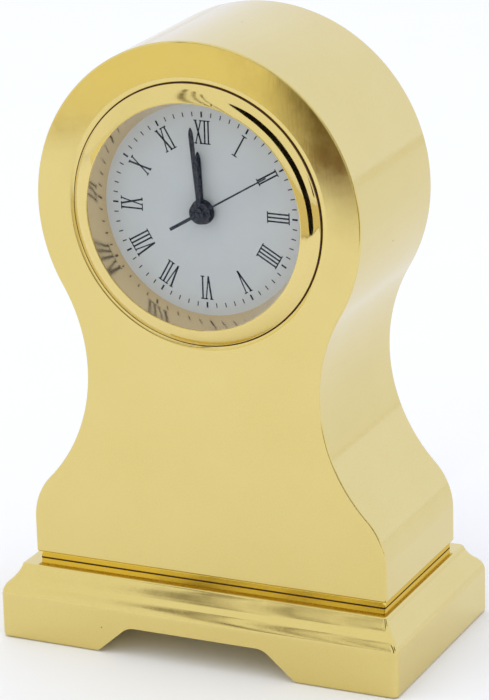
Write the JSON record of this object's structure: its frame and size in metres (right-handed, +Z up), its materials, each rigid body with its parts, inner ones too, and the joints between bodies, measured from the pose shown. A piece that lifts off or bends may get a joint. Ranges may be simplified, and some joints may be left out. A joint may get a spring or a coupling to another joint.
{
  "type": "miniature mantel clock",
  "caption": "Miniature waisted brass mantel clock with a round push-in quartz movement, Roman dial and moulded bracket plinth.",
  "frame": {"origin": "middle of the plinth's underside", "axes": "+Z up, -Y out of the dial, +X to the right as the dial is read"},
  "size_m": [0.0448, 0.0248, 0.065],
  "materials": {
    "case_gold": "polished gold plate",
    "plinth_gold": "polished gold plate",
    "bezel_gold": "mirror-polished gold plate",
    "crystal": "clear mineral glass",
    "dial_white": "satin pale grey-white enamel paint",
    "hand_blue": "satin blue-black lacquer",
    "insert_steel": "satin stainless steel",
    "grip_rubber": "matt black rubber",
    "knob_black": "black moulded plastic",
    "screw_steel": "zinc-plated steel",
    "wheel_brass": "stamped brass",
    "pinion_steel": "polished steel",
    "holder_plastic": "natural moulded plastic",
    "soft_iron": "bare soft iron",
    "coil_copper": "enamelled copper wire",
    "board_green": "solder-masked laminate",
    "chip_black": "epoxy",
    "cell_steel": "nickel-plated steel",
    "magnet_grey": "sintered magnet"
  },
  "bodies": {
    "case": {"case_body": "case_gold", "plinth": "plinth_gold", "case_screws": "screw_steel"},
    "insert": {"insert_cup": "insert_steel", "bezel": "bezel_gold", "crystal": "crystal", "dial_ring": "bezel_gold", "dial": "dial_white", "grip_ring": "grip_rubber", "back_cover": "insert_steel", "movement_holder": "holder_plastic", "main_plate": "wheel_brass", "train_bridge": "wheel_brass", "bridge_screws": "screw_steel", "minute_wheel_post": "pinion_steel", "dial_washer": "wheel_brass", "stator": "soft_iron", "coil_core": "soft_iron", "coil_bobbin": "holder_plastic", "coil_winding": "coil_copper", "circuit_board": "board_green", "control_chip": "chip_black", "quartz_can": "cell_steel", "battery_cell": "cell_steel", "battery_contact": "wheel_brass"},
    "hatch": {"battery_hatch": "insert_steel"},
    "minute_hand": {"minute_hand": "hand_blue", "cannon_pinion": "pinion_steel", "centre_wheel": "wheel_brass"},
    "hour_hand": {"hour_hand": "hand_blue", "hour_wheel": "wheel_brass"},
    "second_hand": {"second_hand": "hand_blue", "seconds_pinion": "pinion_steel", "seconds_wheel": "wheel_brass"},
    "third_wheel": {"third_wheel": "wheel_brass", "third_pinion": "pinion_steel"},
    "intermediate_wheel": {"intermediate_wheel": "wheel_brass", "intermediate_pinion": "pinion_steel"},
    "rotor": {"rotor_magnet": "magnet_grey", "rotor_pinion": "pinion_steel"},
    "minute_wheel": {"minute_wheel": "wheel_brass"},
    "set_knob": {"set_knob": "knob_black", "set_shaft": "pinion_steel"}
  },
  "joints": [
    {"name": "insert_slide", "type": "slide", "parent": "case", "child": "insert", "axis": [0, -1, 0], "range_m": [0, 0.02]},
    {"name": "hatch_slide", "type": "slide", "parent": "insert", "child": "hatch", "axis": [0, 1, 0], "range_m": [0, 0.004]},
    {"name": "minute_hand_turn", "type": "hinge", "parent": "insert", "child": "minute_hand", "pos_m": [0, 0, 0.04725], "axis": [0, 1, 0], "continuous": true},
    {"name": "hour_hand_turn", "type": "hinge", "parent": "insert", "child": "hour_hand", "pos_m": [0, 0, 0.04725], "axis": [0, 1, 0], "continuous": true},
    {"name": "second_hand_turn", "type": "hinge", "parent": "insert", "child": "second_hand", "pos_m": [0, 0, 0.04725], "axis": [0, 1, 0], "continuous": true},
    {"name": "third_wheel_turn", "type": "hinge", "parent": "insert", "child": "third_wheel", "pos_m": [0.0017, 0, 0.05019], "axis": [0, 1, 0], "continuous": true},
    {"name": "intermediate_wheel_turn", "type": "hinge", "parent": "insert", "child": "intermediate_wheel", "pos_m": [-0.00299, 0, 0.04897], "axis": [0, 1, 0], "continuous": true},
    {"name": "rotor_turn", "type": "hinge", "parent": "insert", "child": "rotor", "pos_m": [-0.00542, 0, 0.04963], "axis": [0, 1, 0], "continuous": true},
    {"name": "minute_wheel_turn", "type": "hinge", "parent": "insert", "child": "minute_wheel", "pos_m": [0.0016, 0, 0.04448], "axis": [0, 1, 0], "continuous": true},
    {"name": "set_knob_turn", "type": "hinge", "parent": "insert", "child": "set_knob", "pos_m": [0.0016, 0, 0.04088], "axis": [0, 1, 0], "continuous": true}
  ],
  "couplings": [
    {"joint": "hour_hand_turn", "follows": "minute_hand_turn", "ratio": 0.083333},
    {"joint": "second_hand_turn", "follows": "minute_hand_turn", "ratio": 60},
    {"joint": "third_wheel_turn", "follows": "minute_hand_turn", "ratio": -8},
    {"joint": "intermediate_wheel_turn", "follows": "minute_hand_turn", "ratio": -300},
    {"joint": "rotor_turn", "follows": "minute_hand_turn", "ratio": 1800},
    {"joint": "minute_wheel_turn", "follows": "minute_hand_turn", "ratio": -0.33333},
    {"joint": "set_knob_turn", "follows": "minute_hand_turn", "ratio": 0.66667}
  ]
}
